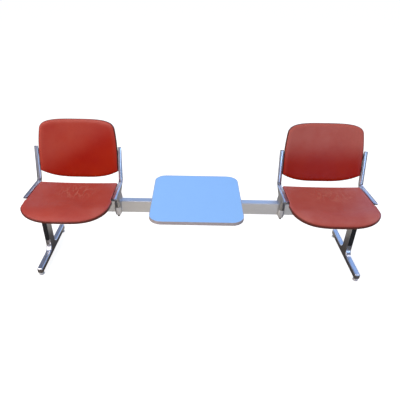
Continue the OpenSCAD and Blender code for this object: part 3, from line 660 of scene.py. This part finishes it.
seatForm = {
    "half": 0.221,
    "rear": 0.020,
    "rearCorner": 0.012,
    "widensAt": 0.221,
    "widensOver": 0.022,
    "bulge": 0.007,
    "noseStart": 0.290,
    "nose": 0.114,
    "noseSquareness": 3.2,
    "fallStart": 0.290,
    "fallRadius": 0.240,
    "fallLead": 0.040,
    "fallGap": 0.001,
    "base": 0.011,
    "thickness": 0.013,
    "dish": 0.005,
    "dishEnd": 0.220,
    "dishFade": 0.130,
}


def seatHalf(s):
    f = seatForm
    t = s - f["widensAt"]
    rest = clamp01((t - f["widensOver"]) / (f["noseStart"] - f["widensAt"] - f["widensOver"]))
    return f["half"] + f["bulge"] * smooth(t / f["widensOver"]) - f["bulge"] / 2 * rest


def seatRear(u):
    corner = seatForm["rearCorner"]
    return seatForm["rear"] + corner * (1 - bow((1 - abs(u)) * seatForm["half"] / corner))


def seatFront(u):
    f = seatForm
    return f["noseStart"] + f["nose"] * math.sqrt(max(0.0, 1 - abs(u) ** f["noseSquareness"]))


def seatPlace(x, s, up):
    fall = max(0.0, s - seatForm["fallStart"]) / seatForm["fallRadius"]
    level = math.sqrt(1 - fall * fall)
    along = s + up * fall
    rise = up * level - seatForm["base"] - seatForm["fallRadius"] * (1 - level)
    y = bend["y"] - along * math.cos(bend["rise"]) + rise * math.sin(bend["rise"])
    return x, y, bend["z"] + along * math.sin(bend["rise"]) + rise * math.cos(bend["rise"])


def seatLift(s):
    return seatForm["fallGap"] * clamp01(1 + (s - seatForm["fallStart"]) / seatForm["fallLead"])


def seatThickness(u, s):
    dished = 1 - smooth((s - seatForm["dishEnd"]) / seatForm["dishFade"])
    return seatForm["thickness"] - seatForm["dish"] * (1 - u * u) * dished


backForm = {
    "half": 0.221,
    "low": 0.014,
    "smile": 0.044,
    "smilePower": 3,
    "high": 0.347,
    "shoulder": 0.050,
    "shoulderPower": 4,
    "shoulderSquareness": 0.42,
    "taper": 0.016,
    "taperFrom": 0.43,
    "taperTo": 0.91,
    "hollow": 0.028,
    "base": 0.006,
    "thickness": 0.012,
}
backRadius = (backForm["half"] ** 2 + backForm["hollow"] ** 2) / (2 * backForm["hollow"])
backCentre = backRadius - backForm["hollow"] - backForm["base"]


def backHalf(s):
    f = backForm
    t = (s / f["high"] - f["taperFrom"]) / (f["taperTo"] - f["taperFrom"])
    return f["half"] - f["taper"] * clamp01(t) ** 2


def backLower(u):
    return backForm["low"] + backForm["smile"] * abs(u) ** backForm["smilePower"]


def backUpper(u):
    f = backForm
    return f["high"] - f["shoulder"] * (1 - max(0.0, 1 - u ** f["shoulderPower"]) ** f["shoulderSquareness"])


def backPlace(x, s, up):
    across = x / backRadius
    depth = math.sqrt(1 - across * across)
    back = backRadius * depth - backCentre - up * depth
    y = bend["y"] + back * math.cos(bend["lean"]) + s * math.sin(bend["lean"])
    return x - up * across, y, bend["z"] - back * math.sin(bend["lean"]) + s * math.cos(bend["lean"])


# dark is how far onto the face the painted shade of the wrapped edge reaches, and how much further past a
# point
seatOutline = {
    "half": seatHalf,
    "low": seatRear,
    "high": seatFront,
    "place": seatPlace,
    "dark": {"reach": 0.003, "further": 0.006, "from": 0.24, "over": 0.12},
}
backOutline = {
    "half": backHalf,
    "low": backLower,
    "high": backUpper,
    "place": backPlace,
    "dark": {"reach": 0.004, "further": 0.0, "from": 0.0, "over": 1.0},
}


def darkReach(outline, s):
    dark = outline["dark"]
    return dark["reach"] + dark["further"] * smooth((s - dark["from"]) / dark["over"])


# A point of an outline drawn in by inset; v runs from 0 at the low edge to 1 at the high one
def outlinePoint(outline, u, v, inset):
    low, high = outline["low"](u) + inset, outline["high"](u) - inset
    s = low + (high - low) * v
    return u * (outline["half"](s) - inset), s


def edgeTree(outline, inset, count=1600):
    tree = KDTree(4 * (count + 1))
    for k in range(count + 1):
        t = math.sin((k / count - 0.5) * math.pi)
        for n, (u, v) in enumerate(((t, 0), (t, 1), (-1, (1 + t) / 2), (1, (1 + t) / 2))):
            x, s = outlinePoint(outline, u, v, inset)
            tree.insert((x, s, 0), 4 * k + n)
    tree.balance()
    return tree


gridEdge = 0.9999  # past this a point of the unit grid is on its edge
gridMerge = 0.0001  # joins the rings to the hidden side, while both are still unit grids


def only(kind, items):
    return [item for item in items if isinstance(item, kind)]


# A closed upholstered form: its face, the rings that wrap its edge, each (inset, up), and its hidden side
def upholster(outline, face, rings, grid, inset=0.0, shift=0.0):
    columns, rows = grid
    bm = bmesh.new()
    bmesh.ops.create_grid(bm, x_segments=columns, y_segments=rows, size=1)
    border = [edge for edge in bm.edges if edge.is_boundary]
    for _ in rings:
        made = bmesh.ops.extrude_edge_only(bm, edges=border)["geom"]
        bmesh.ops.translate(bm, verts=only(bmesh.types.BMVert, made), vec=(0, 0, 1))
        border = [edge for edge in only(bmesh.types.BMEdge, made) if edge.is_boundary]
    under = bmesh.ops.create_grid(bm, x_segments=columns, y_segments=rows, size=1)["verts"]
    bmesh.ops.translate(bm, verts=under, vec=(0, 0, len(rings)))
    bmesh.ops.remove_doubles(bm, verts=bm.verts, dist=gridMerge)
    tree = edgeTree(outline, inset)
    satOn, fadedAndSheen, rimShade = (bm.verts.layers.float.new(name) for name in ("satOn", "fadedAndSheen", "rimShade"))
    for vert in bm.verts:
        u, v, level = crowd(vert.co.x), (1 + crowd(vert.co.y)) / 2, round(vert.co.z)
        if level == 0:
            x, s = outlinePoint(outline, u, v, inset)
            atRim = max(abs(vert.co.x), abs(vert.co.y)) > gridEdge
            fromEdge = 0.0 if atRim else tree.find((x, s, 0))[2]
            up, vert[satOn], vert[fadedAndSheen] = face(u, x, s, fromEdge)
            # painted shade: the wrapped edge and a narrow band of the face next to it are darkened
            vert[rimShade] = 1 - smooth(fromEdge / darkReach(outline, s))
        else:
            drawnIn, up = rings[level - 1]
            vert[rimShade] = 1.0
            x, s = outlinePoint(outline, u, v, inset + drawnIn)
        x, y, z = outline["place"](x, s, up)
        vert.co = (x + shift, y, z)
    bmesh.ops.recalc_face_normals(bm, faces=bm.faces)
    return bm


padGrid = (110, 96)
padEdge = {
    "lip": 0.0015,
    "upright": 0.002,
    "gap": 0.0003,
    "round": 0.007,
    "noseRound": 0.032,
    "noseFrom": 0.20,
    "noseOver": 0.12,
    "backRound": 0.022,
}
leatherWrap = [  # from the pad's edge down round the shell and back up inside it
    (0.0, 0.0013), (0.0003, -0.0010), (0.0003, -0.0035), (0.0007, -0.0060), (0.0014, -0.0078),
    (0.0026, -0.0092), (0.0042, -0.0098), (0.0062, -0.0100), (0.0082, -0.0097), (0.0088, -0.0084),
    (0.0052, -0.0083), (0.0046, -0.0078), (0.0046, -0.0004), (0.0052, 0.0002), (0.0120, 0.0003),
]
# a ripple is a wave of that height and length, inset from the edge; apart keeps left and right unlike
seatRipple = {"height": 0.0004, "length": 0.05, "inset": 0.04, "sink": 0.0003, "apart": 0.7}
backRipple = {"height": 0.0003, "length": 0.07, "inset": 0.04, "from": 3}
seatWearAndSheen = {
    "x": 0.02,
    "s": 0.13,
    "wide": 0.17,
    "long": 0.12,
    "inset": 0.03,
    # set per chair, as painted sheen as well as fading
    "fadeAndSheen": (0.50, 0.76),
    "cornerX": 0.180,
    "cornerS": 0.350,
    "cornerReach": 0.070,
    "corners": ((0.0, 0.40), (0.40, 0.55)),
}
# painted sheen of the backs, set per chair
backPaintedSheen = {
    "from": 0.10,
    "over": 0.18,
    "fadeAndSheen": (0.34, 0.96),
    "lean": (0.7, 0.0),
    "edge": 0.25,
    "edgeWidth": 0.035,
}


# A face gives, for a point of the outline, its height, how far it is sat on, and how far it is faded and
# painted with sheen
def seatFace(side):
    def face(u, x, s, fromEdge):
        low = padEdge["gap"] + seatLift(s) + padEdge["lip"] + padEdge["upright"]
        top = padEdge["gap"] + seatThickness(u, s)
        atNose = smooth((s - padEdge["noseFrom"]) / padEdge["noseOver"])
        reach = padEdge["round"] + (padEdge["noseRound"] - padEdge["round"]) * atNose
        dx, ds = (x - seatWearAndSheen["x"]) / seatWearAndSheen["wide"], (s - seatWearAndSheen["s"]) / seatWearAndSheen["long"]
        sat = smooth(1 - math.hypot(dx, ds)) * smooth(fromEdge / seatWearAndSheen["inset"])
        wave = noise.noise(Vector((x, s, seatRipple["apart"] * side)) / seatRipple["length"])
        inside = smooth((fromEdge - reach) / seatRipple["inset"])
        up = low + (top - low) * bow(fromEdge / reach)
        up = up + seatRipple["height"] * wave * inside - seatRipple["sink"] * inside
        # painted sheen: a fade set per chair, with painted highlights paling the nose corners
        fadeAndSheen = seatWearAndSheen["fadeAndSheen"][side]
        for sign, rubAndSheen in zip((-1, 1), seatWearAndSheen["corners"][side]):
            away = math.hypot(x - sign * seatWearAndSheen["cornerX"], s - seatWearAndSheen["cornerS"])
            fadeAndSheen += rubAndSheen * smooth(1 - away / seatWearAndSheen["cornerReach"])
        return up, sat, fadeAndSheen
    return face


def backFace(side):
    def face(u, x, s, fromEdge):
        low = padEdge["gap"] + padEdge["lip"] + padEdge["upright"]
        wave = noise.noise(Vector((x, s, backRipple["from"] + side)) / backRipple["length"])
        inside = smooth((fromEdge - padEdge["backRound"]) / backRipple["inset"])
        up = low + (backForm["thickness"] - low) * bow(fromEdge / padEdge["backRound"])
        up = up + backRipple["height"] * (wave - 1) * inside
        # painted light and sheen: the back is paled upwards, towards one side and along its upper edges
        above = (s - backPaintedSheen["from"]) / backPaintedSheen["over"]
        fadeAndSheen = backPaintedSheen["fadeAndSheen"][side] * smooth(above - backPaintedSheen["lean"][side] * u)
        nearEdge = 1 - smooth(fromEdge / backPaintedSheen["edgeWidth"])
        fadeAndSheen += backPaintedSheen["edge"] * nearEdge * smooth(s / backForm["high"])
        return up, 0.0, fadeAndSheen
    return face


for side, sideName in enumerate(sideNames):
    for kind, outline, makeFace in (("seat", seatOutline, seatFace), ("back", backOutline, backFace)):
        node = f"{kind}_pad_{sideName}"
        bm = upholster(outline, makeFace(side), leatherWrap, padGrid, shift=middleX(node))
        addPiece(f"{kind}_cushion_{sideName}", bm, "seat_leather", node)
print("cushions upholstered")

# Panels that close the undersides of the seats and the rears of the backs

panelGrid = (60, 52)
panelEdge = {"inset": 0.009, "lip": 0.004, "round": 0.0018, "share": 0.55}
panelLevels = {"seat": (-0.0081, -0.0100), "back": (-0.00825, -0.01015)}  # next to the shell, and outside


def panelFace(inner, outer):
    share = panelEdge["share"]

    def face(u, x, s, fromEdge):
        rounded = bow(fromEdge / panelEdge["round"])
        return inner * share + outer * (1 - share) + (outer - inner) * share * rounded, 0.0, 0.0
    return face


for sideName in sideNames:
    for kind, outline in (("seat", seatOutline), ("back", backOutline)):
        node = f"{kind}_cover_{sideName}"
        inner, outer = panelLevels[kind]
        rings = [(0.0, inner), (panelEdge["lip"], inner)]
        bm = upholster(outline, panelFace(inner, outer), rings, panelGrid, panelEdge["inset"], middleX(node))
        addPiece(f"{kind}_panel_{sideName}", bm, slotOf[node], node)
print("panels closed")

# Threaded stems of the glides

stemShape = {"crest": 0.0040, "root": 0.0034, "pitch": 0.00125, "around": 28}


def threadStem(node):
    low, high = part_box(node)
    turns = int((high.z - low.z) / stemShape["pitch"])
    pitch = (high.z - low.z) / turns
    bm = bmesh.new()
    corners = [(0.0, 0.0), (stemShape["root"], 0.0)]
    for k in range(turns):
        corners += [(stemShape["crest"], (k + 0.5) * pitch), (stemShape["root"], (k + 1) * pitch)]
    corners.append((0.0, turns * pitch))
    verts = [bm.verts.new((r, 0, z)) for r, z in corners]
    edges = [bm.edges.new(pair) for pair in zip(verts, verts[1:])]
    bmesh.ops.spin(bm, geom=verts + edges, cent=(0, 0, 0), axis=(0, 0, 1), angle=2 * math.pi,
                   steps=stemShape["around"], use_merge=True)
    bmesh.ops.remove_doubles(bm, verts=bm.verts, dist=mergeGap)
    bmesh.ops.recalc_face_normals(bm, faces=bm.faces)
    bmesh.ops.translate(bm, verts=bm.verts, vec=((low.x + high.x) / 2, (low.y + high.y) / 2, low.z))
    addPiece(node + "_threaded", bm, slotOf[node], node)


for place in cornerPlaces:
    threadStem(f"glide_stem_{place}")
print("stems threaded")

# Studio

studio = {
    "floorSize": 30.0,
    "floorLevel": -0.0010,
    "floorColour": (0.50, 0.50, 0.50),
    "floorRoughness": 0.9,
    "floorGlow": 0.90,
    "backdropRadius": 24.0,
    "skyColour": (0.50, 0.57, 0.85),
    "skyStrength": 0.36,
    "cardRoughness": 0.8,
    "cardStep": 0.0001,  # each card lies this much above the one before, the last at the soles
}
cards = [  # what metal and leather see of the floor, from front to rear, and a bright one before the clamps; their glow is painted light, the dark one under the bench is painted shade, the bright one paints a reflection on the clamps
    {"from": -9.0, "to": -2.1, "half": 4.5, "colour": (0.12, 0.10, 0.08), "glow": (0.04, 0.034, 0.026)},
    {"from": -2.1, "to": -0.32, "half": 4.5, "colour": (0.46, 0.42, 0.35), "glow": (0.28, 0.255, 0.21)},
    {"from": -0.32, "to": 0.24, "half": 4.5, "colour": (0.09, 0.065, 0.035), "glow": (0.012, 0.009, 0.005)},
    {"from": 0.24, "to": 5.0, "half": 4.5, "colour": (0.32, 0.275, 0.19), "glow": (0.09, 0.077, 0.052)},
    {"from": -0.32, "to": 0.24, "half": 0.52, "colour": (0.46, 0.42, 0.33), "glow": (0.34, 0.30, 0.23)},
]
softboxes = {
    "windowBehind": {"place": (1.2, 3.6, 2.9), "aim": (0, 0, 0.3), "size": (6.0, 2.2), "power": 46,
                     "colour": (0.22, 0.48, 1.0)},
    "lowWindow": {"place": (0.3, 4.4, 1.0), "aim": (0, 0, 0.5), "size": (7.0, 1.5), "power": 44,
                  "colour": (0.76, 0.86, 1.0)},
    "ceilingLeft": {"place": (-1.75, -0.4, 3.1), "aim": (-0.2, 0, 0.4), "size": (1.1, 2.8), "power": 34,
                    "colour": (0.84, 0.86, 1.0)},
    "ceilingRight": {"place": (1.9, 0.2, 3.0), "aim": (0.2, 0, 0.4), "size": (1.1, 2.8), "power": 34,
                     "colour": (0.84, 0.86, 1.0)},
    "frontLeft": {"place": (-2.4, -2.6, 2.8), "aim": (-0.3, 0, 0.5), "size": (2.2, 1.8), "power": 116,
                  "colour": (1.0, 0.90, 0.84)},
    "windowRight": {"place": (2.3, -4.6, 0.9), "aim": (0.6, 0, 0.6), "size": (2.4, 1.2), "power": 52,
                    "colour": (0.42, 0.64, 1.0)},
    "windowSide": {"place": (4.0, 1.3, 1.35), "aim": (0.9, -0.2, 0.44), "size": (1.7, 1.3), "power": 32,
                   "colour": (0.50, 0.60, 1.0)},
}


def makeGlowing(name, colour, roughness, glow=(1, 1, 1), strength=1.0):
    return newFinish(name, colour, roughness, {"Emission Color": (*glow, 1), "Emission Strength": strength})


def addSurround(name, bm, finish):
    mesh = bpy.data.meshes.new(name)
    bm.to_mesh(mesh)
    bm.free()
    surround = bpy.data.objects.new(name, mesh)
    surround.data.materials.append(finish)
    bpy.context.scene.collection.objects.link(surround)
    return surround


def addPlane(name, size, place, finish):
    bm = bmesh.new()
    bmesh.ops.create_grid(bm, x_segments=1, y_segments=1, size=size)
    plane = addSurround(name, bm, finish)
    plane.location = place
    return plane


def addDome(name, radius, finish):
    bm = bmesh.new()
    bmesh.ops.create_uvsphere(bm, u_segments=48, v_segments=24, radius=radius)
    return addSurround(name, bm, finish)


def addCard(number, card):
    half = (card["to"] - card["from"]) / 2
    height = (number + 1 - len(cards)) * studio["cardStep"]
    finish = makeGlowing(f"card_{number}", card["colour"], studio["cardRoughness"], card["glow"])
    plane = addPlane(f"card_{number}", half, (0, card["from"] + half, height), finish)
    plane.scale = (card["half"] / half, 1, 1)
    plane.visible_camera = plane.visible_shadow = plane.visible_transmission = False


def addSoftbox(name, box):
    data = bpy.data.lights.new(name, "AREA")
    data.shape = "RECTANGLE"
    data.size, data.size_y = box["size"]
    data.energy = box["power"]
    data.color = box["colour"]
    light = bpy.data.objects.new(name, data)
    bpy.context.scene.collection.objects.link(light)
    light.location = box["place"]
    light.visible_camera = False
    light.rotation_mode = "QUATERNION"
    light.rotation_quaternion = (Vector(box["aim"]) - Vector(box["place"])).to_track_quat("-Z", "Y")


def addSky(colour, strength):
    world = bpy.data.worlds.new("studioSky")
    bpy.context.scene.world = world
    world.use_nodes = True
    back = world.node_tree.nodes["Background"]
    back.inputs["Color"].default_value = (*colour, 1)
    back.inputs["Strength"].default_value = strength


floorFinish = makeGlowing("paleFloor", studio["floorColour"], studio["floorRoughness"],
                          strength=studio["floorGlow"])
floor = addPlane("floor", studio["floorSize"], (0, 0, studio["floorLevel"]), floorFinish)
backdrop = addDome("backdrop", studio["backdropRadius"], makeGlowing("paleBackdrop", (0, 0, 0), 1.0))
for surround in (floor, backdrop):
    surround.visible_glossy = surround.visible_diffuse = False
backdrop.visible_shadow = backdrop.visible_transmission = False
for number, card in enumerate(cards):
    addCard(number, card)
for name, box in softboxes.items():
    addSoftbox(name, box)
addSky(studio["skyColour"], studio["skyStrength"])
print("studio lit")
